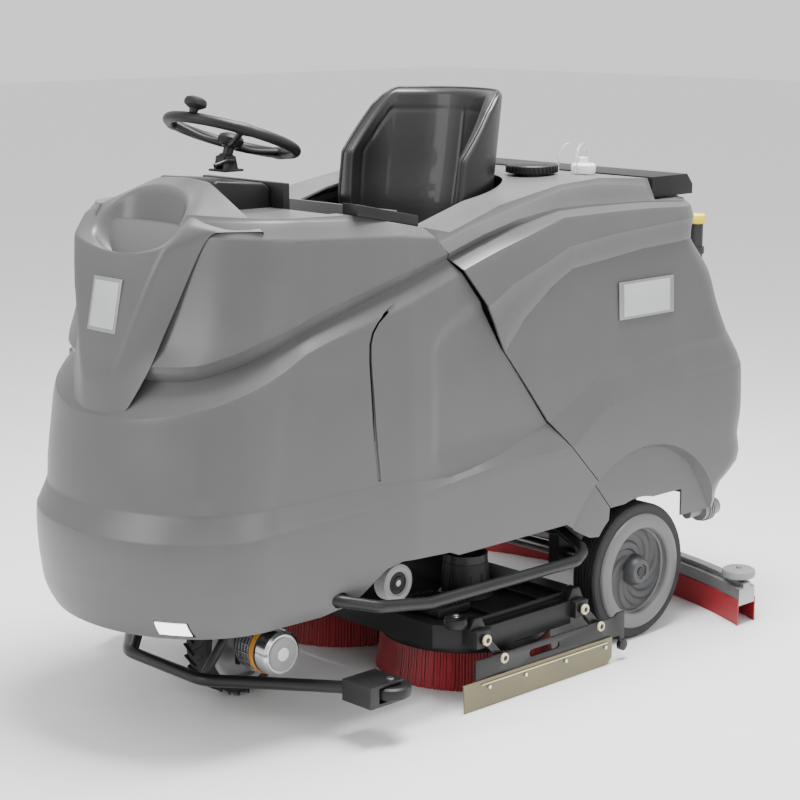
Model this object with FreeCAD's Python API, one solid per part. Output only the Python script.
"""Ride-on floor scrubber-dryer, built as separate sub-parts, one STEP file each.

Frame: +X to the front of the machine, +Y to its left side, +Z up, millimetres.
The origin is on the floor, below the middle of the machine's bounding box.
"""
import FreeCAD
import Part
import math
import os

V = FreeCAD.Vector

# ---------------------------------------------------------------- driving dimensions
NOSE_X = 1070.0          # front of the skirt
REAR_X = -1075.0         # rear of the lower rear cover
NOSE_LENGTH = 280.0      # length of the half-elliptical nose
BODY_HALF_WIDTH = 470.0  # widest half width of the covers
WALL = 6.0               # wall of the moulded covers
COVER_GAP = 4.0          # gap between front and rear cover
CORNER_RADIUS = 120.0    # rear corners in plan
SKIRT_BOTTOM_Z = 300.0
DECK_CUTOUT_Z = 410.0    # lower edge of the covers above the brush deck
REAR_BOTTOM_Z = 330.0
BODY_TOP_Z = 1345.0

REAR_WHEEL_X = -566.0
REAR_WHEEL_R = 200.0
REAR_WHEEL_Y = 410.0     # middle of the wheel
REAR_WHEEL_WIDTH = 84.0
REAR_RIM_R = 170.0
ARCH_CLEARANCE = 40.0
AXLE_R = 20.0
JOURNAL_R = 12.5
RUNNING = 0.05           # radial clearance of running fits
GAP = 0.5                # clearance of sliding faces

DRIVE_X = 564.0
DRIVE_WHEEL_R = 150.0
DRIVE_WHEEL_WIDTH = 80.0
DRIVE_RIM_R = 115.0
STEER_SHAFT_R = 35.0
DRIVE_SHAFT_R = 15.0
MOTOR_R = 62.0

RAIL_Y = 160.0           # middle of each chassis rail
RAIL_WIDTH = 40.0
RAIL_Z = 330.0
RAIL_HEIGHT = 50.0
RAIL_FRONT_X = 720.0
RAIL_REAR_X = -900.0
PLATE_Z = 345.0          # front plate that carries the steered wheel
PLATE_THICKNESS = 35.0

DECK_X = -50.0           # middle of the brush deck
BRUSH_Y = 254.0          # brush axes at either side of the middle
BRUSH_R = 248.0
BRISTLE_Z = 100.0        # top of the bristles
DECK_TOP_Z = 200.0
DECK_WALL = 8.0
DECK_BOTTOM_Z = 105.0
BRUSH_SHAFT_R = 12.0
BRUSH_MOTOR_R = 62.0
BRUSH_MOTOR_HEIGHT = 120.0

ARM_FRONT_X = 157.0      # upper pivots of the side blade arms
ARM_SPACING = 388.0
ARM_Z = 178.0
ARM_REACH_X = -58.0      # from upper to lower pivot
ARM_REACH_Z = -60.0
ARM_Y = 528.0            # inner face of the arms
ARM_THICKNESS = 8.0
PIVOT_R = 6.0
BLADE_PLATE_Y = 540.0    # inner face of the blade plate
BLADE_PLATE_THICKNESS = 6.0
LIP_THICKNESS = 4.0
STRIP_THICKNESS = 5.0

GUARD_TUBE_R = 16.0
GUARD_HOLE_CLEARANCE = 3.0
SIDE_GUARD_Y = 500.0
FRONT_GUARD_Z = 130.0
ROLLER_R = 54.0
ROLLER_HEIGHT = 36.0
ROLLER_X = 505.0
ROLLER_Y = 538.0
BOLT_R = 8.0
GUIDE_WHEEL_X = 380.0
GUIDE_WHEEL_Z = 358.0
GUIDE_WHEEL_R = 50.0
GUIDE_WHEEL_Y = 416.0
GUIDE_WHEEL_WIDTH = 44.0

SQUEEGEE_REAR_X = -1070.0
SQUEEGEE_RADIUS = 1475.0
SQUEEGEE_HALF_WIDTH = 590.0
SQUEEGEE_DEPTH = 84.0
SQUEEGEE_BODY_Z = 60.0
SQUEEGEE_BODY_HEIGHT = 50.0
BLADE_THICKNESS = 4.0
BLADE_TOP_Z = 75.0
SWING_X = -700.0         # vertical pivot of the squeegee arm
LIFT_X = -860.0          # lift pivot between arm and squeegee
LIFT_Z = 235.0
END_ROLLER_Y = 542.0
END_ROLLER_R = 50.0
END_ROLLER_HEIGHT = 28.0

COLUMN_X = 571.5         # tilt pivot of the steering column
COLUMN_Z = 1423.0
COLUMN_LEAN = 19.0       # degrees towards the operator
WHEEL_OFFSET = 66.0      # tilt pivot to the middle of the steering wheel
STEERING_R = 167.0
GRIP_R = 14.0
KNOB_ANGLE = 12.0
CONSOLE_REAR_X = 520.0
CONSOLE_TOP_Z = 1396.0

SEAT_FLOOR_Z = 1080.0
SEAT_X = -28.0           # centre of the bucket's round plan
SEAT_R = 250.0
SEAT_SHELL = 45.0
SEAT_BACK_LEAN = 60.0
SEAT_TOP_Z = 1580.0
SEAT_POCKET_X = -56.0
SEAT_POCKET_R = 272.0
CUSHION_R = 196.0
RAIL_TOP_Z = 1101.0
SEAT_RAIL_Y = 120.0
SEAT_RAIL_WIDTH = 20.0

FOOTWELL_X = (290.0, CONSOLE_REAR_X)
FOOTWELL_TOE_X = 760.0
FOOTWELL_FLOOR_Z = 720.0
FOOTWELL_TOE_Z = 1010.0
FOOTWELL_LEFT_Y = 330.0

FILLER_X = -370.0
FILLER_Y = 190.0
FILLER_R = 66.0
LID_FRONT_X = -640.0
LID_REAR_X = -822.0
LID_HALF_WIDTH = 404.0
LID_Z = 1272.0
LID_TOP_Z = 1330.0
HINGE_X = -832.0         # hinge of the rear lid, behind its lower edge
HINGE_Z = 1285.0
HINGE_R = 9.0
HINGE_PIN_R = 4.0
HINGE_Y = (240.0, 300.0) # inner faces of the two lugs of each hinge
HINGE_LUG = 12.0         # width of a lug
TANK_FLOOR_Z = 460.0
PEDAL_X = 600.0
PEDAL_Z = 736.0

# z, nose x, half width at the nose root, half width of the sides, rear x
SECTIONS = [
    (300.0, 1040.0, 398.0, 452.0, -972.0),
    (335.0, 1056.0, 410.0, 462.0, -982.0),
    (400.0, 1064.0, 416.0, 467.0, -990.0),
    (450.0, 1068.0, 418.0, BODY_HALF_WIDTH, REAR_X),
    (550.0, NOSE_X, 420.0, BODY_HALF_WIDTH, REAR_X),
    (592.0, 1042.0, 400.0, 455.0, -1073.0),
    (780.0, 1010.0, 399.0, 456.0, -1055.0),
    (850.0, 998.0, 398.0, 455.0, -1020.0),
    (945.0, 972.0, 396.0, 450.0, -974.0),
    (1046.0, 932.0, 393.0, 445.0, -935.0),
    (1150.0, 915.0, 390.0, 438.0, -855.0),
    (1260.0, 905.0, 388.0, 428.0, -828.0),
    (1360.0, 895.0, 385.0, 420.0, -815.0),
]
SIDE_KNEE_X = 350.0      # where the sides stop widening

# side view of the covers: the seam between them runs from the top to the sill
SEAM = [(270.0, 1262.0), (198.0, 1183.0), (94.0, 1051.0), (17.0, 924.0),
        (-155.0, 707.0), (-353.0, 509.0), (-438.0, 410.0)]
FRONT_TOP = [(490.0, 1308.0), (725.0, 1312.0), (860.0, 1322.0), (1120.0, 1322.0)]
REAR_TOP = [(-640.0, 1266.0), (-622.0, 1328.0), (-407.0, 1343.0), (-243.0, 1335.0),
            (-11.0, 1298.0), (181.0, 1243.0)]


# ---------------------------------------------------------------- small helpers
def box(x, y, z):
    return Part.makeBox(x[1] - x[0], y[1] - y[0], z[1] - z[0], V(x[0], y[0], z[0]))


def rod(radius, start, end):
    axis = V(*end) - V(*start)
    return Part.makeCylinder(radius, axis.Length, V(*start), axis)


def sleeve(outer, inner, start, end):
    return rod(outer, start, end).cut(rod(inner, start, end))


def union(shapes):
    return shapes[0].fuse(shapes[1:]).removeSplitter()


def face_of(points):
    loop = [V(*p) for p in points] + [V(*points[0])]
    return Part.Face(Part.makePolygon(loop))


def prism_xz(outline, y):
    return face_of([(px, y[0], pz) for px, pz in outline]).extrude(V(0, y[1] - y[0], 0))


def prism_xy(outline, z):
    return face_of([(px, py, z[0]) for px, py in outline]).extrude(V(0, 0, z[1] - z[0]))


def prism_yz(outline, x):
    return face_of([(x[0], py, pz) for py, pz in outline]).extrude(V(x[1] - x[0], 0, 0))


def mirrored(shape):
    return shape.mirror(V(0, 0, 0), V(0, 1, 0))


def bent_tube(points, radius, bend, bore=0.0):
    """Round bar or tube along straight runs joined by tangent arcs."""
    pts = [V(*p) for p in points]
    edges = []
    start = pts[0]
    for i in range(1, len(pts) - 1):
        before, after = pts[i - 1] - pts[i], pts[i + 1] - pts[i]
        half_turn = (math.pi - before.getAngle(after)) / 2
        longest = 0.45 * min(before.Length, after.Length) / math.tan(half_turn)
        r = min(bend, longest)
        back = r * math.tan(half_turn)
        a = pts[i] + before.normalize() * back
        b = pts[i] + after.normalize() * back
        bisector = (before + after).normalize()
        middle = pts[i] + bisector * (r / math.cos(half_turn) - r)
        edges.append(Part.LineSegment(start, a).toShape())
        edges.append(Part.Arc(a, middle, b).toShape())
        start = b
    edges.append(Part.LineSegment(start, pts[-1]).toShape())
    path = Part.Wire(edges)
    direction = pts[1] - pts[0]

    def sweep(r):
        ring = Part.Wire(Part.makeCircle(r, pts[0], direction))
        return path.makePipeShell([ring], True, False)

    return sweep(radius).cut(sweep(bore)) if bore else sweep(radius)


def plan_wire(section, inset):
    """Closed plan outline of the covers at one height, moved in by inset."""
    z, nose, nose_half, half, rear = section
    root = nose - NOSE_LENGTH
    b = nose_half - inset
    w = half - inset
    r = CORNER_RADIUS - inset
    rear = rear + inset
    ellipse = Part.Ellipse(V(root, b, z), V(nose - inset, 0, z), V(root, 0, z))
    edges = [Part.Arc(ellipse, 0, math.pi).toShape()]

    def line(p, q):
        edges.append(Part.LineSegment(V(p[0], p[1], z), V(q[0], q[1], z)).toShape())

    def corner(side):
        c = V(rear + r, side * (w - r), z)
        a, m = V(0, side * r, 0), V(-r * math.sqrt(0.5), side * r * math.sqrt(0.5), 0)
        ends = [c + a, c + V(-r, 0, 0)]
        if side > 0:
            ends.reverse()
        edges.append(Part.Arc(ends[0], c + m, ends[1]).toShape())

    line((root, -b), (SIDE_KNEE_X, -w))
    line((SIDE_KNEE_X, -w), (rear + r, -w))
    corner(-1)
    line((rear, -w + r), (rear, w - r))
    corner(1)
    line((rear + r, w), (SIDE_KNEE_X, w))
    line((SIDE_KNEE_X, w), (root, b))
    return Part.Wire(edges)


def body_loft(inset):
    return Part.makeLoft([plan_wire(s, inset) for s in SECTIONS], True, True)


def rounded_rectangle(x, half, r, z):
    """Wire of a rectangle from x[0] to x[1] and half wide, with corners of radius r."""
    x0, x1 = x
    k = r * (1 - math.sqrt(0.5))
    corners = [
        ((x1, half - r), (x1 - k, half - k), (x1 - r, half)),
        ((x0 + r, half), (x0 + k, half - k), (x0, half - r)),
        ((x0, -half + r), (x0 + k, -half + k), (x0 + r, -half)),
        ((x1 - r, -half), (x1 - k, -half + k), (x1, -half + r)),
    ]
    edges = []
    for i, (a, m, b) in enumerate(corners):
        edges.append(Part.Arc(V(*a, z), V(*m, z), V(*b, z)).toShape())
        nxt = corners[(i + 1) % 4][0]
        edges.append(Part.LineSegment(V(*b, z), V(*nxt, z)).toShape())
    return Part.Wire(edges)


def console_loft(inset):
    """Leaning column in front of the footwell that carries the steering."""
    rows = [(830.0, 640.0, 985.0, 185.0), (1100.0, 560.0, 968.0, 212.0),
            (1250.0, CONSOLE_REAR_X, 930.0, 222.0), (CONSOLE_TOP_Z, CONSOLE_REAR_X, 862.0, 200.0)]
    wires = []
    for z, x0, x1, half in rows:
        top = inset if z == CONSOLE_TOP_Z else 0
        wires.append(rounded_rectangle((x0 + inset, x1 - inset), half - inset, 80.0 - inset, z - top))
    return Part.makeLoft(wires, True, True)


# ---------------------------------------------------------------- covers and tanks
def footwell(grow):
    """Space for the operator's feet, open upwards and to the machine's right."""
    low, high = FOOTWELL_FLOOR_Z - grow, 1500.0
    y = (-600.0, FOOTWELL_LEFT_Y + grow)
    x0, x1 = FOOTWELL_X[0] - grow, FOOTWELL_X[1] + grow
    outline = [(x0, low), (FOOTWELL_TOE_X + grow, low), (FOOTWELL_TOE_X + grow, 900.0),
               (x1 + 60, FOOTWELL_TOE_Z + grow), (x1, FOOTWELL_TOE_Z + 60), (x1, high), (x0, high)]
    return prism_xz(outline, y)


def bowl(grow):
    """Storage bowl in the top of the console."""
    lift = 1265.0 - grow
    return rod(82.0 + grow, (838.0, 0, lift), (838.0, 0, 1500.0))


def front_region(inset):
    seam = [(x + inset, z) for x, z in SEAM]
    lower = [(-430.0, 330.0), (-354.0, 339.0), (-231.0, 404.0), (190.0, 402.0), (225.0, 416.0),
             (390.0, 424.0), (440.0, 412.0), (511.0, 357.0), (570.0, 331.0), (628.0, 318.0),
             (1120.0, 292.0)]
    top = [(x, z - inset) for x, z in FRONT_TOP]
    return prism_xz(top + lower[::-1] + seam[::-1], (-700.0, 700.0))


def front_body():
    band = front_region(0)
    outer = body_loft(0).common(band).fuse(console_loft(0))
    inner = body_loft(WALL).common(front_region_inner()).fuse(console_loft(WALL))
    shell = outer.cut(inner)
    for space in (footwell, bowl):
        shell = shell.fuse(space(WALL).common(outer)).cut(space(0))
    shell = shell.cut(wheel_arch(0)).cut(side_guard_tubes(GUARD_TUBE_R + GUARD_HOLE_CLEARANCE))
    for pocket in headlight_blocks(GAP):
        shell = shell.cut(pocket)
    return shell.fuse(pedal_bracket()).removeSplitter()


def front_region_inner():
    """Hollow of the front cover: open below and at the seam, closed at the top."""
    seam = [(x - 60.0, z) for x, z in SEAM]
    top = [(x, z - WALL) for x, z in FRONT_TOP]
    first = (SEAM[0][0], SEAM[0][1] - WALL)
    lower = [(-600.0, 250.0), (1120.0, 250.0)]
    return prism_xz(top + lower[::-1] + seam[:0:-1] + [first], (-700.0, 700.0))


def seat_pocket(grow):
    """Round-backed pocket in the rear cover that holds the seat."""
    low = SEAT_FLOOR_Z - grow
    r = SEAT_POCKET_R + grow
    disc = Part.makeCylinder(r, 600.0, V(SEAT_POCKET_X, 0, low))
    return disc.fuse(box((SEAT_POCKET_X, 420.0), (-r, r), (low, low + 600.0)))


def rear_region(grow_top):
    seam = [(x - COVER_GAP, z) for x, z in SEAM]
    top = [(x, z - grow_top) for x, z in REAR_TOP]
    rear = [(-1120.0, 1266.0 - grow_top)]
    lower = [(-1120.0, REAR_BOTTOM_Z), (-760.0, REAR_BOTTOM_Z), (-760.0, DECK_CUTOUT_Z)]
    return prism_xz(rear + top + seam + lower[::-1], (-700.0, 700.0))


def wheel_arch(extra):
    r = REAR_WHEEL_R + ARCH_CLEARANCE + extra
    return rod(r, (REAR_WHEEL_X, -700.0, REAR_WHEEL_R), (REAR_WHEEL_X, 700.0, REAR_WHEEL_R))


def rear_body():
    """Rear cover with the recovery tank's front wall and floor moulded in."""
    outer = body_loft(0).common(rear_region(0))
    hollow = [(-1120.0, 1266.0 - WALL)] + [(x, z - WALL) for x, z in REAR_TOP]
    hollow += [(SEAM[0][0] + 60, SEAM[0][1] - WALL), (60.0, 250.0), (-1120.0, 250.0)]
    inner = body_loft(WALL).common(prism_xz(hollow, (-700.0, 700.0)))
    shell = outer.cut(inner)
    tank_front = box((-430.0 - WALL, -430.0), (-700.0, 700.0), (TANK_FLOOR_Z, 1400.0))
    tank_floor = box((-1120.0, -430.0), (-700.0, 700.0), (TANK_FLOOR_Z, TANK_FLOOR_Z + WALL))
    shell = shell.fuse(tank_front.fuse(tank_floor).common(outer))
    shell = shell.fuse(seat_pocket(WALL).common(outer)).cut(seat_pocket(0))
    shell = shell.fuse(filler_neck().common(box((-600, 0), (0, 400), (1200.0, 1345.0))))
    shell = shell.cut(rod(FILLER_R - 14.0, (FILLER_X, FILLER_Y, 1250.0), (FILLER_X, FILLER_Y, 1400.0)))
    shell = shell.cut(box((-790.0, -680.0), (-300.0, 300.0), (1240.0, 1400.0)))
    shell = shell.cut(wheel_arch(0))
    return union([shell] + lid_hinge_lugs())


def lid_hinge_lugs():
    """Two lugs and a pin on each side, on the upper rear edge of the rear cover."""
    pieces = []
    for side in (-1, 1):
        for y in HINGE_Y:
            ends = sorted((side * y, side * (y + HINGE_LUG)))
            pieces.append(rod(HINGE_R, (HINGE_X, ends[0], HINGE_Z), (HINGE_X, ends[1], HINGE_Z)))
            pieces.append(box((HINGE_X - 6, HINGE_X + 8), ends, (HINGE_Z - 30, HINGE_Z)))
        outer = side * (HINGE_Y[1] + HINGE_LUG)
        pieces.append(rod(HINGE_PIN_R, (HINGE_X, side * HINGE_Y[0], HINGE_Z), (HINGE_X, outer, HINGE_Z)))
    return pieces


def lid_knuckles():
    """Barrels of the lid that turn on the pins between the lugs."""
    pieces = []
    for side in (-1, 1):
        low, high = sorted((side * (HINGE_Y[0] + HINGE_LUG + GAP), side * (HINGE_Y[1] - GAP)))
        barrel = rod(HINGE_R, (HINGE_X, low, HINGE_Z), (HINGE_X, high, HINGE_Z))
        web = box((HINGE_X, LID_REAR_X + 2), (low, high), (HINGE_Z - 6, HINGE_Z + 6))
        bore = rod(HINGE_PIN_R + RUNNING, (HINGE_X, low - 1, HINGE_Z), (HINGE_X, high + 1, HINGE_Z))
        pieces.append(barrel.fuse(web).cut(bore))
    return pieces


def filler_neck():
    start, end = (FILLER_X, FILLER_Y, 1300.0), (FILLER_X, FILLER_Y, 1346.0)
    return rod(FILLER_R - 8.0, start, end)


def fresh_tank():
    """Closed water tank below the footwell."""
    outer = box((250.0, 700.0), (-330.0, 330.0), (412.0, 706.0))
    inner = box((255.0, 695.0), (-325.0, 325.0), (417.0, 701.0))
    return outer.cut(inner)


def battery_pack():
    """Two rows of traction cells in a tray."""
    tray = box((-404.0, 204.0), (-304.0, 304.0), (381.0, 420.0))
    tray = tray.cut(box((-400.0, 200.0), (-300.0, 300.0), (387.0, 430.0)))
    cells = []
    for row in range(2):
        for col in range(6):
            x0, y0 = -399.0 + col * 100.0, -299.0 + row * 300.0
            cells.append(box((x0, x0 + 98.0), (y0, y0 + 298.0), (387.0, 680.0)))
    return Part.makeCompound([tray] + cells)


def tank_lid():
    """Rear lid with an arm along the right side, turning on its rear edge."""
    side = [(LID_REAR_X, LID_Z), (LID_FRONT_X, LID_Z), (LID_FRONT_X, LID_TOP_Z),
            (LID_REAR_X + 25, LID_TOP_Z), (LID_REAR_X, LID_TOP_Z - 30)]
    rear = prism_xz(side, (-LID_HALF_WIDTH, LID_HALF_WIDTH))
    cavity = box((LID_REAR_X + 8, LID_FRONT_X - 8), (-LID_HALF_WIDTH + 8, LID_HALF_WIDTH - 8),
                 (LID_Z - 1, LID_TOP_Z - 34))
    arm = box((LID_FRONT_X - 10, -240.0), (-408.0, -300.0), (1347.0, 1372.0))
    web = box((LID_FRONT_X - 40, LID_FRONT_X), (-404.0, -300.0), (LID_TOP_Z - 20, 1372.0))
    return union([rear.cut(cavity), arm, web] + lid_knuckles())


def filler_cap():
    top = rod(FILLER_R + 6, (FILLER_X, FILLER_Y, 1346.0), (FILLER_X, FILLER_Y, 1372.0))
    plug = rod(FILLER_R - 14.0 - GAP, (FILLER_X, FILLER_Y, 1318.0), (FILLER_X, FILLER_Y, 1346.0))
    grips = []
    for i in range(12):
        grip = box((-3, 3), (FILLER_R - 6, FILLER_R + 9), (1350.0, 1370.0))
        grip.rotate(V(0, 0, 0), V(0, 0, 1), 30.0 * i)
        grip.translate(V(FILLER_X, FILLER_Y, 0))
        grips.append(grip)
    return union([top, plug] + grips)


def dosing_cap():
    """Cap of the detergent bottle with its neck."""
    x, y = -520.0, 250.0
    return union([rod(34.0, (x, y, 1340.0), (x, y, 1366.0)), rod(14.0, (x, y, 1366.0), (x, y, 1384.0))])


def dosing_tubes():
    """Two thin tubes that loop from the dosing cap into the cover."""
    tubes = []
    for side in (-1, 1):
        y = 250.0 + 8.0 * side
        route = [(-520.0, y, 1384.3), (-520.0, y, 1405.0), (-500.0, y + 14 * side, 1426.0),
                 (-468.0, y + 20 * side, 1420.0), (-450.0, y + 26 * side, 1392.0),
                 (-450.0, y + 26 * side, 1344.0)]
        tubes.append(bent_tube(route, 4.0, 20.0))
    return Part.makeCompound(tubes)


def headlight_blocks(grow):
    """Lamp units in the lower corners of the nose, or their pockets."""
    lights = []
    for side in (-1, 1):
        y0, y1 = sorted((side * 215.0, side * 320.0))
        lights.append(box((920.0 - grow, 985.0 + grow), (y0 - grow, y1 + grow), (318.0 - grow, 348.0 + grow)))
    return lights


def headlights():
    return Part.makeCompound(headlight_blocks(0))


def filter_cap():
    """Ribbed drain filter cap low at the rear left corner, on an elbow from the tank."""
    y, z = 352.0, 292.0
    body = rod(34.0, (-1010.0, y, z), (-960.0, y, z))
    nose = rod(26.0, (-1040.0, y, z), (-1005.0, y, z))
    ribs = [rod(38.0, (x, y, z), (x + 4.0, y, z)) for x in (-1002.0, -992.0, -982.0)]
    pipe = rod(18.0, (-965.0, y, z), (-905.0, y, z))
    riser = rod(14.0, (-930.0, y, z), (-930.0, y, TANK_FLOOR_Z - 0.3))
    return union([body, nose, pipe, riser] + ribs)


def drain_hose():
    """Drain hose that stands in the rear ledge with its end upwards."""
    x, y = -968.0, 300.0
    return union([rod(27.0, (x, y, 1050.0), (x, y, 1165.0)), rod(32.0, (x, y, 1075.0), (x, y, 1095.0))])


def drain_hose_cap():
    x, y = -968.0, 300.0
    return rod(33.0, (x, y, 1165.3), (x, y, 1192.0))


# ---------------------------------------------------------------- chassis
def chassis_frame():
    y0, y1 = RAIL_Y - RAIL_WIDTH / 2, RAIL_Y + RAIL_WIDTH / 2
    z = (RAIL_Z, RAIL_Z + RAIL_HEIGHT)
    rails = [box((RAIL_REAR_X, RAIL_FRONT_X), s, z) for s in ((y0, y1), (-y1, -y0))]
    cross = [box((x, x + 40.0), (-y0, y0), z) for x in (RAIL_REAR_X, -420.0, 220.0, RAIL_FRONT_X - 40)]
    plate_z = (PLATE_Z, PLATE_Z + PLATE_THICKNESS)
    plate = box((DRIVE_X - 95, DRIVE_X + 95), (-y0, y0), plate_z)
    bearing = rod(STEER_SHAFT_R + RUNNING, (DRIVE_X, 0, 300.0), (DRIVE_X, 0, 450.0))
    hangers = []
    for side in ((y0, y1), (-y1, -y0)):
        hanger = box((REAR_WHEEL_X - 45, REAR_WHEEL_X + 45), side, (REAR_WHEEL_R - 40, RAIL_Z))
        hangers.append(hanger)
    swing = box((SWING_X - 40, SWING_X + 40), (-y0, y0), (RAIL_Z, RAIL_Z + 20))
    pivot = rod(PIVOT_R * 2 + RUNNING, (SWING_X, 0, 300.0), (SWING_X, 0, 400.0))
    frame = union(rails + cross + hangers + [plate.cut(bearing), swing.cut(pivot)])
    return frame.cut(axle_bore())


def axle_bore():
    return rod(AXLE_R, (REAR_WHEEL_X, -300.0, REAR_WHEEL_R), (REAR_WHEEL_X, 300.0, REAR_WHEEL_R))


def rear_axle():
    """Rigid axle: thick in the middle, journals for the wheels at both ends."""
    inner = REAR_WHEEL_Y - REAR_WHEEL_WIDTH / 2 - 8.0
    outer = REAR_WHEEL_Y + REAR_WHEEL_WIDTH / 2 - 6.0
    x, z = REAR_WHEEL_X, REAR_WHEEL_R
    middle = rod(AXLE_R, (x, -inner, z), (x, inner, z))
    return union([middle, rod(JOURNAL_R, (x, -outer, z), (x, outer, z))])


def rear_rim():
    x, z = REAR_WHEEL_X, REAR_WHEEL_R
    inner, outer = REAR_WHEEL_Y - REAR_WHEEL_WIDTH / 2, REAR_WHEEL_Y + REAR_WHEEL_WIDTH / 2
    disc = rod(REAR_RIM_R, (x, inner, z), (x, outer - 2, z))
    disc = disc.cut(rod(REAR_RIM_R - 14, (x, outer - 16, z), (x, outer, z)))
    disc = disc.cut(sleeve(REAR_RIM_R - 14, 45.0, (x, inner - 1, z), (x, outer - 34, z)))
    boss = rod(33.0, (x, outer - 16, z), (x, outer + 10, z))
    bore = rod(JOURNAL_R + RUNNING, (x, inner - 1, z), (x, outer - 6 + GAP, z))
    return union([disc, boss]).cut(bore)


def rear_tyre():
    x, z = REAR_WHEEL_X, REAR_WHEEL_R
    inner, outer = REAR_WHEEL_Y - REAR_WHEEL_WIDTH / 2, REAR_WHEEL_Y + REAR_WHEEL_WIDTH / 2
    tyre = sleeve(REAR_WHEEL_R, REAR_RIM_R, (x, inner, z), (x, outer, z))
    for i in range(1, 6):
        y = inner + i * (REAR_WHEEL_WIDTH - 20) / 6
        tyre = tyre.cut(sleeve(REAR_WHEEL_R + 1, REAR_WHEEL_R - 5, (x, y - 2, z), (x, y + 2, z)))
    return tyre


def side_guards():
    """Bent tubes over the deck on both sides, ending on the chassis rails."""
    tube = side_guard_tubes(GUARD_TUBE_R)
    return Part.makeCompound(tube.Solids)


def side_guard_tubes(radius):
    y = SIDE_GUARD_Y
    rail = RAIL_Y + RAIL_WIDTH / 2 + 0.3
    route = [(620.0, rail, 362.0), (620.0, 330.0, 362.0), (585.0, 440.0, 356.0), (500.0, 492.0, 334.0),
             (329.0, y, 309.0), (-235.0, y, 307.0), (-305.0, 470.0, 318.0), (-325.0, 360.0, 350.0),
             (-325.0, rail, 350.0)]
    tube = bent_tube(route, radius, 60.0)
    return tube.fuse(mirrored(tube))


def front_guard():
    """Low bumper tube in front of the drive wheel with roller arms at both ends."""
    z = FRONT_GUARD_Z
    half = [(560.0, 470.0, z), (699.0, 290.0, z), (805.0, 160.0, z)]
    route = half + [(805.0, -160.0, z)] + [(x, -y, zz) for x, y, zz in half[1::-1]]
    pieces = [bent_tube(route, GUARD_TUBE_R, 90.0)]
    for side in (-1, 1):
        strut = [(790.0, side * 150.0, z + 8), (745.0, side * 165.0, 215.0), (700.0, side * RAIL_Y, 270.0),
                 (700.0, side * RAIL_Y, RAIL_Z - 0.3)]
        pieces.append(bent_tube(strut, 12.0, 60.0))
        y0, y1 = sorted((side * 455.0, side * (ROLLER_Y + 22)))
        fork = [box((ROLLER_X - 24, ROLLER_X + 70), (y0, y1), (z + s * 24 - 4, z + s * 24 + 4))
                for s in (-1, 1)]
        arm = box((ROLLER_X + 58, ROLLER_X + 88), (y0, y1), (z - 28, z + 28))
        pin = rod(BOLT_R, (ROLLER_X, side * ROLLER_Y, z - 28), (ROLLER_X, side * ROLLER_Y, z + 28))
        pieces.append(union(fork + [arm, pin]))
    return union(pieces)


def guard_roller():
    z = FRONT_GUARD_Z
    half = ROLLER_HEIGHT / 2
    return sleeve(ROLLER_R, BOLT_R + RUNNING, (ROLLER_X, ROLLER_Y, z - half), (ROLLER_X, ROLLER_Y, z + half))


def guide_wheels():
    """Two support wheels under the sills on one line, each with its shaft."""
    x, z = GUIDE_WHEEL_X, GUIDE_WHEEL_Z
    wheels = []
    for side in (-1, 1):
        y0 = side * (GUIDE_WHEEL_Y - GUIDE_WHEEL_WIDTH / 2)
        y1 = side * (GUIDE_WHEEL_Y + GUIDE_WHEEL_WIDTH / 2)
        wheels.append(rod(GUIDE_WHEEL_R, (x, y0, z), (x, y1, z)))
        wheels[-1] = wheels[-1].fuse(rod(8.0, (x, side * (RAIL_Y + RAIL_WIDTH / 2 + GAP), z), (x, y0, z)))
    return Part.makeCompound(wheels)


# ---------------------------------------------------------------- steered drive wheel
def drive_fork():
    """Steered head: vertical shaft, top plate and one cheek beside the wheel."""
    x = DRIVE_X
    shaft = rod(STEER_SHAFT_R, (x, 0, 330.0), (x, 0, PLATE_Z + PLATE_THICKNESS + 20))
    top = rod(88.0, (x, 0, 318.0), (x, 0, PLATE_Z - GAP))
    y0 = DRIVE_WHEEL_WIDTH / 2 + 12.0
    cheek = box((x - 48, x + 48), (y0, y0 + 14.0), (DRIVE_WHEEL_R - 50, 320.0))
    bore = rod(DRIVE_SHAFT_R + 4, (x, y0 - 5, DRIVE_WHEEL_R), (x, y0 + 30, DRIVE_WHEEL_R))
    return union([shaft, top, cheek]).cut(bore)


def traction_motor():
    """Finned motor on the cheek; its shaft carries the wheel."""
    x, z = DRIVE_X, DRIVE_WHEEL_R
    y0 = DRIVE_WHEEL_WIDTH / 2 + 26.0
    fins = [rod(MOTOR_R, (x, y0 + 4 + 12 * i, z), (x, y0 + 10 + 12 * i, z)) for i in range(6)]
    core = rod(MOTOR_R - 8, (x, y0, z), (x, y0 + 84, z))
    brake = rod(46.0, (x, y0 + 84, z), (x, y0 + 128, z))
    shaft = rod(DRIVE_SHAFT_R, (x, -DRIVE_WHEEL_WIDTH / 2 + 12, z), (x, y0, z))
    return union([core, brake, shaft] + fins)


def drive_rim():
    x, z = DRIVE_X, DRIVE_WHEEL_R
    half = DRIVE_WHEEL_WIDTH / 2
    disc = rod(DRIVE_RIM_R, (x, -half, z), (x, half, z))
    disc = disc.cut(sleeve(DRIVE_RIM_R - 14, 42.0, (x, half - 24, z), (x, half + 1, z)))
    bore = rod(DRIVE_SHAFT_R + RUNNING, (x, -half + 12 - GAP, z), (x, half + 1, z))
    return disc.cut(bore)


def drive_tyre():
    x, z = DRIVE_X, DRIVE_WHEEL_R
    half = DRIVE_WHEEL_WIDTH / 2
    return sleeve(DRIVE_WHEEL_R, DRIVE_RIM_R, (x, -half, z), (x, half, z))


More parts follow.
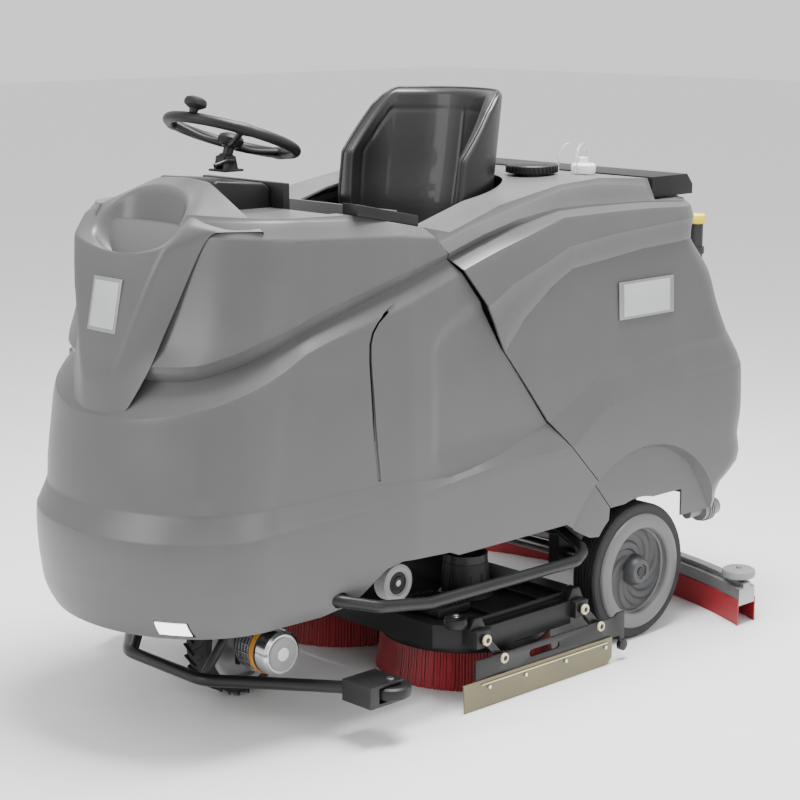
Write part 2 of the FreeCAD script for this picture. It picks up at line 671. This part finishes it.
# ---------------------------------------------------------------- brush deck
def brush_deck():
    x0, x1 = DECK_X - BRUSH_R - 20, DECK_X + BRUSH_R + 20
    y = BRUSH_Y + BRUSH_R + 4
    c = 110.0
    outline = [(x0 + c, -y), (x1 - c, -y), (x1, -y + c), (x1, y - c), (x1 - c, y), (x0 + c, y),
               (x0, y - c), (x0, -y + c)]
    deck = prism_xy(outline, (DECK_BOTTOM_Z + 30, DECK_TOP_Z))
    for side in (-1, 1):
        room = rod(BRUSH_R + 2, (DECK_X, side * BRUSH_Y, 90.0),
                   (DECK_X, side * BRUSH_Y, DECK_TOP_Z - DECK_WALL))
        bore = rod(BRUSH_SHAFT_R + 20, (DECK_X, side * BRUSH_Y, 150.0), (DECK_X, side * BRUSH_Y, 250.0))
        deck = deck.cut(room).cut(bore)
    return union([deck] + [arm_boss(i, side) for i in range(2) for side in (-1, 1)])


def arm_boss(index, side):
    """Boss on the deck's side with the pin of one side blade arm."""
    x = ARM_FRONT_X - index * ARM_SPACING
    y_deck = BRUSH_Y + BRUSH_R - 30
    block = box((x - 26, x + 26), sorted((side * y_deck, side * (ARM_Y - GAP))), (ARM_Z - 24, DECK_TOP_Z))
    pin = rod(PIVOT_R, (x, side * y_deck, ARM_Z), (x, side * (ARM_Y + ARM_THICKNESS), ARM_Z))
    return block.fuse(pin)


def brush_motors():
    motors = []
    for side in (-1, 1):
        y = side * BRUSH_Y
        can = rod(BRUSH_MOTOR_R, (DECK_X, y, DECK_TOP_Z), (DECK_X, y, DECK_TOP_Z + BRUSH_MOTOR_HEIGHT))
        shaft = rod(BRUSH_SHAFT_R, (DECK_X, y, 135.0), (DECK_X, y, DECK_TOP_Z))
        motors.append(union([can, shaft]))
    return Part.makeCompound(motors)


def brush_disc():
    y = BRUSH_Y
    plate = rod(BRUSH_R - 18, (DECK_X, y, BRISTLE_Z), (DECK_X, y, BRISTLE_Z + 22))
    hub = rod(30.0, (DECK_X, y, BRISTLE_Z + 22), (DECK_X, y, 180.0))
    bore = rod(BRUSH_SHAFT_R + RUNNING, (DECK_X, y, 134.0), (DECK_X, y, 200.0))
    return union([plate, hub]).cut(bore)


def bristles():
    low, high = (DECK_X, BRUSH_Y, 0.0), (DECK_X, BRUSH_Y, BRISTLE_Z)
    return sleeve(BRUSH_R, 120.0, low, high)


# ---------------------------------------------------------------- side blades
def lower_pivot(index):
    x = ARM_FRONT_X - index * ARM_SPACING + ARM_REACH_X
    return x, ARM_Z + ARM_REACH_Z


def blade_arm(index):
    """Swinging arm from a deck pin to a blade plate pin."""
    x0, z0 = ARM_FRONT_X - index * ARM_SPACING, ARM_Z
    x1, z1 = lower_pivot(index)
    y = (ARM_Y, ARM_Y + ARM_THICKNESS)
    ends = [rod(15.0, (x, y[0], z), (x, y[1], z)) for x, z in ((x0, z0), (x1, z1))]
    length = math.hypot(x1 - x0, z1 - z0)
    nx, nz = 11 * (z1 - z0) / length, -11 * (x1 - x0) / length
    bar = prism_xz([(x0 + nx, z0 + nz), (x1 + nx, z1 + nz), (x1 - nx, z1 - nz), (x0 - nx, z0 - nz)], y)
    arm = union(ends + [bar])
    for x, z in ((x0, z0), (x1, z1)):
        arm = arm.cut(rod(PIVOT_R + RUNNING, (x, y[0] - 1, z), (x, y[1] + 1, z)))
    return arm


def blade_plate():
    """Plate with a hand slot, two pins, clamping strip, rivets and an end roller."""
    y0 = BLADE_PLATE_Y
    y1 = y0 + BLADE_PLATE_THICKNESS
    side = [(205.0, 72.0), (205.0, 132.0), (-350.0, 132.0), (-362.0, 140.0), (-392.0, 140.0),
            (-392.0, 44.0), (-372.0, 44.0), (-372.0, 72.0)]
    plate = prism_xz(side, (y0, y1))
    slot = union([box((-110.0, -10.0), (y0 - 1, y1 + 1), (96.0, 116.0)),
                  rod(10.0, (-110.0, y0 - 1, 106.0), (-110.0, y1 + 1, 106.0)),
                  rod(10.0, (-10.0, y0 - 1, 106.0), (-10.0, y1 + 1, 106.0))])
    pieces = [plate.cut(slot)]
    pieces.append(box((-310.0, 205.0), (y0, y1), (34.0, 76.0)))
    for index in range(2):
        x, z = lower_pivot(index)
        pieces.append(rod(PIVOT_R, (x, ARM_Y, z), (x, y1 + 3, z)))
        pieces.append(rod(11.0, (x, y1, z), (x, y1 + 4, z)))
    pieces.append(rod(16.0, (-382.0, y0, 44.0), (-382.0, y1 + 8, 44.0)))
    return union(pieces)


def blade_lip():
    """Polyurethane lip on the outside of the plate with its clamping strip's width."""
    y0 = BLADE_PLATE_Y + BLADE_PLATE_THICKNESS + 0.3
    side = [(250.0, 0.5), (255.0, 78.0), (-335.0, 78.0), (-335.0, 20.0), (-315.0, 0.5)]
    return prism_xz(side, (y0, y0 + LIP_THICKNESS))


# ---------------------------------------------------------------- squeegee
def squeegee_ring(inner, outer, z):
    """Slice of a flat ring that is curved like the squeegee."""
    centre_x = SQUEEGEE_REAR_X + SQUEEGEE_RADIUS
    ring = sleeve(outer, inner, (centre_x, 0, z[0]), (centre_x, 0, z[1]))
    keep = box((-1300.0, -700.0), (-SQUEEGEE_HALF_WIDTH, SQUEEGEE_HALF_WIDTH), (z[0] - 1, z[1] + 1))
    return ring.common(keep)


def squeegee_bar():
    outer = SQUEEGEE_RADIUS - 8
    inner = outer - SQUEEGEE_DEPTH + 16
    z = (SQUEEGEE_BODY_Z, SQUEEGEE_BODY_Z + SQUEEGEE_BODY_HEIGHT)
    bar = squeegee_ring(inner, outer, z)
    ridge = squeegee_ring(inner + 18, outer - 18, (z[1], z[1] + 14))
    pieces = [bar, ridge]
    tower = [(-1040.0, z[1]), (-960.0, z[1]), (LIFT_X + 22, LIFT_Z - 24), (LIFT_X + 22, LIFT_Z + 20),
             (LIFT_X - 22, LIFT_Z + 20)]
    for side in (-1, 1):
        y = sorted((side * 30.5, side * 42.5))
        pieces.append(prism_xz(tower, y))
    pieces.append(rod(PIVOT_R, (LIFT_X, -42.0, LIFT_Z), (LIFT_X, 42.0, LIFT_Z)))
    for side in (-1, 1):
        y = side * END_ROLLER_Y
        x = end_roller_x()
        pieces.append(rod(14.0, (x, y, z[0] + 10), (x, y, 128.0)))
        pieces.append(rod(BOLT_R, (x, y, 128.0), (x, y, 162.0)))
    return union(pieces)


def end_roller_x():
    centre_x = SQUEEGEE_REAR_X + SQUEEGEE_RADIUS
    radius = SQUEEGEE_RADIUS - SQUEEGEE_DEPTH / 2
    return centre_x - math.sqrt(radius ** 2 - END_ROLLER_Y ** 2)


def squeegee_blades():
    """Front and rear rubber blades against the bar's long faces."""
    rear = squeegee_ring(SQUEEGEE_RADIUS - 7.5, SQUEEGEE_RADIUS - 7.5 + BLADE_THICKNESS, (0.3, BLADE_TOP_Z))
    front_radius = SQUEEGEE_RADIUS - SQUEEGEE_DEPTH + 7.5
    front = squeegee_ring(front_radius - BLADE_THICKNESS, front_radius, (1.5, BLADE_TOP_Z))
    return Part.makeCompound([rear, front])


def squeegee_roller():
    x, y = end_roller_x(), END_ROLLER_Y
    return sleeve(END_ROLLER_R, BOLT_R + RUNNING, (x, y, 129.0), (x, y, 129.0 + END_ROLLER_HEIGHT))


def squeegee_arm():
    """Arm that swings below the chassis and carries the squeegee's lift pivot."""
    pivot = rod(PIVOT_R * 2, (SWING_X, 0, 290.0), (SWING_X, 0, RAIL_Z + 30))
    head = rod(36.0, (SWING_X, 0, 270.0), (SWING_X, 0, RAIL_Z - GAP))
    bar = prism_xz([(SWING_X, 275.0), (SWING_X, 318.0), (LIFT_X - 16, LIFT_Z + 16), (LIFT_X - 16, LIFT_Z - 16),
                    (LIFT_X + 16, LIFT_Z - 16)], (-22.0, 22.0))
    knuckle = rod(18.0, (LIFT_X, -30.0, LIFT_Z), (LIFT_X, 30.0, LIFT_Z))
    bore = rod(PIVOT_R + RUNNING, (LIFT_X, -50.0, LIFT_Z), (LIFT_X, 50.0, LIFT_Z))
    nozzle = rod(20.0, (-790.0, 0, 285.0), (-790.0, 90.0, 285.0))
    return union([pivot, head, bar, knuckle, nozzle]).cut(bore)


def suction_hose():
    """Hose from the arm's nozzle to the floor of the recovery tank."""
    route = [(-790.0, 90.3, 285.0), (-790.0, 140.0, 285.0), (-796.0, 215.0, 320.0),
             (-800.0, 240.0, 385.0), (-800.0, 240.0, TANK_FLOOR_Z - 0.3)]
    return bent_tube(route, 22.0, 70.0)


# ---------------------------------------------------------------- operator's place
def column_point(distance, across=0.0, angle=0.0):
    """Point above the tilt pivot, and across the wheel's plane at an angle."""
    lean = math.radians(COLUMN_LEAN)
    up = (-math.sin(lean), math.cos(lean))
    ahead = (math.cos(lean), math.sin(lean))
    a = math.radians(angle)
    dx, dy = across * math.cos(a), across * math.sin(a)
    return (COLUMN_X + up[0] * distance + ahead[0] * dx, dy,
            COLUMN_Z + up[1] * distance + ahead[1] * dx)


def control_panels():
    """Control panel on the console's rear face and the switch console beside the seat."""
    plate = box((CONSOLE_REAR_X - 20, CONSOLE_REAR_X - 0.3), (-165.0, 165.0), (1252.0, 1372.0))
    bore = rod(8.0 + RUNNING, (CONSOLE_REAR_X - 30, -110.0, 1312.0), (CONSOLE_REAR_X - 4, -110.0, 1312.0))
    return Part.makeCompound([plate.cut(bore), side_switches()])


def side_switches():
    """Low switch console that lies on the sloping left edge of the front cover."""
    rise = (FRONT_TOP[0][1] - SEAM[0][1]) / (FRONT_TOP[0][0] - SEAM[0][0])
    x0, x1 = SEAM[0][0] + 6.0, FRONT_TOP[0][0] - 6.0
    z0, z1 = [SEAM[0][1] + rise * (x - SEAM[0][0]) + GAP for x in (x0, x1)]
    return prism_xz([(x0, z0), (x1, z1), (x1, z1 + 28), (x0, z0 + 28)], (344.0, 400.0))


def emergency_stop():
    head = rod(19.0, (CONSOLE_REAR_X - 44, -110.0, 1312.0), (CONSOLE_REAR_X - 28, -110.0, 1312.0))
    stem = rod(8.0, (CONSOLE_REAR_X - 28, -110.0, 1312.0), (CONSOLE_REAR_X - 12, -110.0, 1312.0))
    return union([head, stem])


def steering_bracket():
    """Clevis on the console with the tilt pin and its clamp lever."""
    x, z = COLUMN_X, COLUMN_Z
    base = box((x - 30, x + 30), (-34.0, 34.0), (CONSOLE_TOP_Z + 0.3, CONSOLE_TOP_Z + 6))
    ears = []
    for side in (-1, 1):
        y = sorted((side * 14.5, side * 22.5))
        ears.append(prism_xz([(x - 22, CONSOLE_TOP_Z + 5), (x + 22, CONSOLE_TOP_Z + 5), (x + 14, z + 12),
                              (x - 14, z + 12)], y))
    pin = rod(PIVOT_R, (x, -30.0, z), (x, 34.0, z))
    lever = bent_tube([(x, 32.0, z), (x + 30.0, 44.0, z + 4), (x + 75.0, 48.0, z - 6)], 5.0, 20.0)
    return union([base, pin, lever] + ears)


def steering_column():
    knuckle = rod(19.0, (COLUMN_X, -14.0, COLUMN_Z), (COLUMN_X, 14.0, COLUMN_Z))
    post = rod(13.5, column_point(0), column_point(WHEEL_OFFSET - 18))
    stub = rod(10.0, column_point(0), column_point(WHEEL_OFFSET - 2))
    bore = rod(PIVOT_R + RUNNING, (COLUMN_X, -40.0, COLUMN_Z), (COLUMN_X, 40.0, COLUMN_Z))
    return union([knuckle, post, stub]).cut(bore)


def steering_wheel():
    centre = column_point(WHEEL_OFFSET)
    axis = V(*column_point(WHEEL_OFFSET + 10)) - V(*centre)
    rim = Part.makeTorus(STEERING_R, GRIP_R, V(*centre), axis)
    hub = rod(42.0, column_point(WHEEL_OFFSET - 18 + GAP), column_point(WHEEL_OFFSET + 14))
    bore = rod(10.0 + RUNNING, column_point(WHEEL_OFFSET - 30), column_point(WHEEL_OFFSET - 2 + GAP))
    pieces = [rim, hub.cut(bore)]
    for angle in (60.0, 180.0, 300.0):
        pieces.append(rod(10.0, column_point(WHEEL_OFFSET, 36.0, angle),
                          column_point(WHEEL_OFFSET, STEERING_R, angle)))
    pieces.append(rod(5.0, column_point(WHEEL_OFFSET, STEERING_R, KNOB_ANGLE),
                      column_point(WHEEL_OFFSET + 36, STEERING_R, KNOB_ANGLE)))
    return union(pieces)


def steering_knob():
    low = column_point(WHEEL_OFFSET + GRIP_R + 4, STEERING_R, KNOB_ANGLE)
    high = column_point(WHEEL_OFFSET + 45, STEERING_R, KNOB_ANGLE)
    bore_end = column_point(WHEEL_OFFSET + 36 + GAP, STEERING_R, KNOB_ANGLE)
    return rod(29.0, low, high).cut(rod(5.0 + RUNNING, low, bore_end))


def pedal_bracket():
    """Ears and pin of the pedal, moulded on the footwell's floor."""
    ears = []
    for y in ((-186.0, -176.5), (-83.5, -74.0)):
        ears.append(box((PEDAL_X - 10, PEDAL_X + 10), y, (FOOTWELL_FLOOR_Z - 3, PEDAL_Z + 9)))
    pin = rod(5.0, (PEDAL_X, -186.0, PEDAL_Z), (PEDAL_X, -74.0, PEDAL_Z))
    return ears[0].fuse(ears[1]).fuse(pin)


def accelerator_pedal():
    x, z = PEDAL_X, PEDAL_Z
    plate = prism_xz([(x, z - 4), (x + 122, z + 52), (x + 118, z + 62), (x - 4, z + 7)], (-176.0, -84.0))
    barrel = rod(9.0, (x, -176.0, z), (x, -84.0, z))
    return union([plate, barrel]).cut(rod(5.0 + RUNNING, (x, -200.0, z), (x, -60.0, z)))


def seat_rails():
    rails = []
    for side in (-1, 1):
        y = (side * SEAT_RAIL_Y - SEAT_RAIL_WIDTH / 2, side * SEAT_RAIL_Y + SEAT_RAIL_WIDTH / 2)
        rails.append(box((-190.0, 190.0), y, (SEAT_FLOOR_Z, RAIL_TOP_Z)))
    return Part.makeCompound(rails)


def seat_base():
    """Plate with channels that ride on the seat rails."""
    pieces = [box((-170.0, 160.0), (-160.0, 160.0), (RAIL_TOP_Z + GAP, 1116.0))]
    for side in (-1, 1):
        for edge in (-1, 1):
            y = side * SEAT_RAIL_Y + edge * (SEAT_RAIL_WIDTH / 2 + GAP + 3)
            pieces.append(box((-170.0, 160.0), (y - 3, y + 3), (SEAT_FLOOR_Z + 2, 1108.0)))
    return union(pieces)


def seat_cushion():
    z = (1116.3, 1205.0)
    disc = Part.makeCylinder(CUSHION_R, z[1] - z[0], V(SEAT_X, 0, z[0]))
    return union([disc, box((SEAT_X, 200.0), (-CUSHION_R, CUSHION_R), z)])


def seat_backrest():
    """Bucket-shaped back: a leaning crescent with a sloping upper edge."""
    low = 1116.3
    lean = V(-SEAT_BACK_LEAN, 0, SEAT_TOP_Z - low)

    def leaning(radius):
        return Part.Face(Part.Wire(Part.makeCircle(radius, V(SEAT_X, 0, low)))).extrude(lean)

    crescent = leaning(SEAT_R).cut(leaning(SEAT_R - SEAT_SHELL))
    side = [(SEAT_X - 30, low), (SEAT_X + 20, 1330.0), (SEAT_X - 30, 1420.0), (-190.0, 1565.0),
            (-230.0, SEAT_TOP_Z), (-460.0, SEAT_TOP_Z), (-460.0, low)]
    return crescent.common(prism_xz(side, (-400.0, 400.0)))


# ---------------------------------------------------------------- inner units
def suction_turbine():
    """Suction fan: round housing with its motor on top."""
    x, y = -240.0, 150.0
    return union([rod(90.0, (x, y, 700.0), (x, y, 790.0)), rod(60.0, (x, y, 790.0), (x, y, 900.0))])


def controller_box():
    lid = box((-300.0, -60.0), (-230.0, 0.0), (700.0, 780.0))
    fins = [box((-300.0, -60.0), (-225.0 + 22 * i, -219.0 + 22 * i), (780.0, 800.0)) for i in range(10)]
    return union([lid] + fins)


def build_parts():
    """Every sub-part by its node name."""
    parts = {
        "chassis_frame": chassis_frame(),
        "rear_axle": rear_axle(),
        "front_body": front_body(),
        "rear_body": rear_body(),
        "fresh_tank": fresh_tank(),
        "battery_pack": battery_pack(),
        "suction_turbine": suction_turbine(),
        "controller_box": controller_box(),
        "headlights": headlights(),
        "control_panels": control_panels(),
        "emergency_stop": emergency_stop(),
        "dosing_cap": dosing_cap(),
        "dosing_tubes": dosing_tubes(),
        "drain_hose": drain_hose(),
        "drain_hose_cap": drain_hose_cap(),
        "filter_cap": filter_cap(),
        "side_guards": side_guards(),
        "front_guard": front_guard(),
        "guide_wheels": guide_wheels(),
        "seat_rails": seat_rails(),
        "seat_base": seat_base(),
        "seat_cushion": seat_cushion(),
        "seat_backrest": seat_backrest(),
        "tank_lid": tank_lid(),
        "filler_cap": filler_cap(),
        "steering_bracket": steering_bracket(),
        "steering_column": steering_column(),
        "steering_wheel": steering_wheel(),
        "steering_knob": steering_knob(),
        "accelerator_pedal": accelerator_pedal(),
        "drive_fork": drive_fork(),
        "traction_motor": traction_motor(),
        "drive_rim": drive_rim(),
        "drive_tyre": drive_tyre(),
        "brush_deck": brush_deck(),
        "brush_motors": brush_motors(),
        "squeegee_arm": squeegee_arm(),
        "squeegee_bar": squeegee_bar(),
        "squeegee_blades": squeegee_blades(),
        "suction_hose": suction_hose(),
    }
    paired = {
        "rear_rim": rear_rim(),
        "rear_tyre": rear_tyre(),
        "brush_disc": brush_disc(),
        "bristles": bristles(),
        "guard_roller": guard_roller(),
        "squeegee_roller": squeegee_roller(),
        "blade_arm_front": blade_arm(0),
        "blade_arm_rear": blade_arm(1),
        "blade_plate": blade_plate(),
        "blade_lip": blade_lip(),
    }
    for name, shape in paired.items():
        parts[name + "_left"] = shape
        parts[name + "_right"] = mirrored(shape)
    return parts


os.makedirs("parts", exist_ok=True)
for node, solid in build_parts().items():
    solid.exportStep("parts/%s.step" % node)
    size = solid.BoundBox
    print("%-24s solids %d valid %s vol %.0f  x %.0f %.0f  y %.0f %.0f  z %.1f %.1f" % (
        node, len(solid.Solids), solid.isValid(), solid.Volume,
        size.XMin, size.XMax, size.YMin, size.YMax, size.ZMin, size.ZMax))
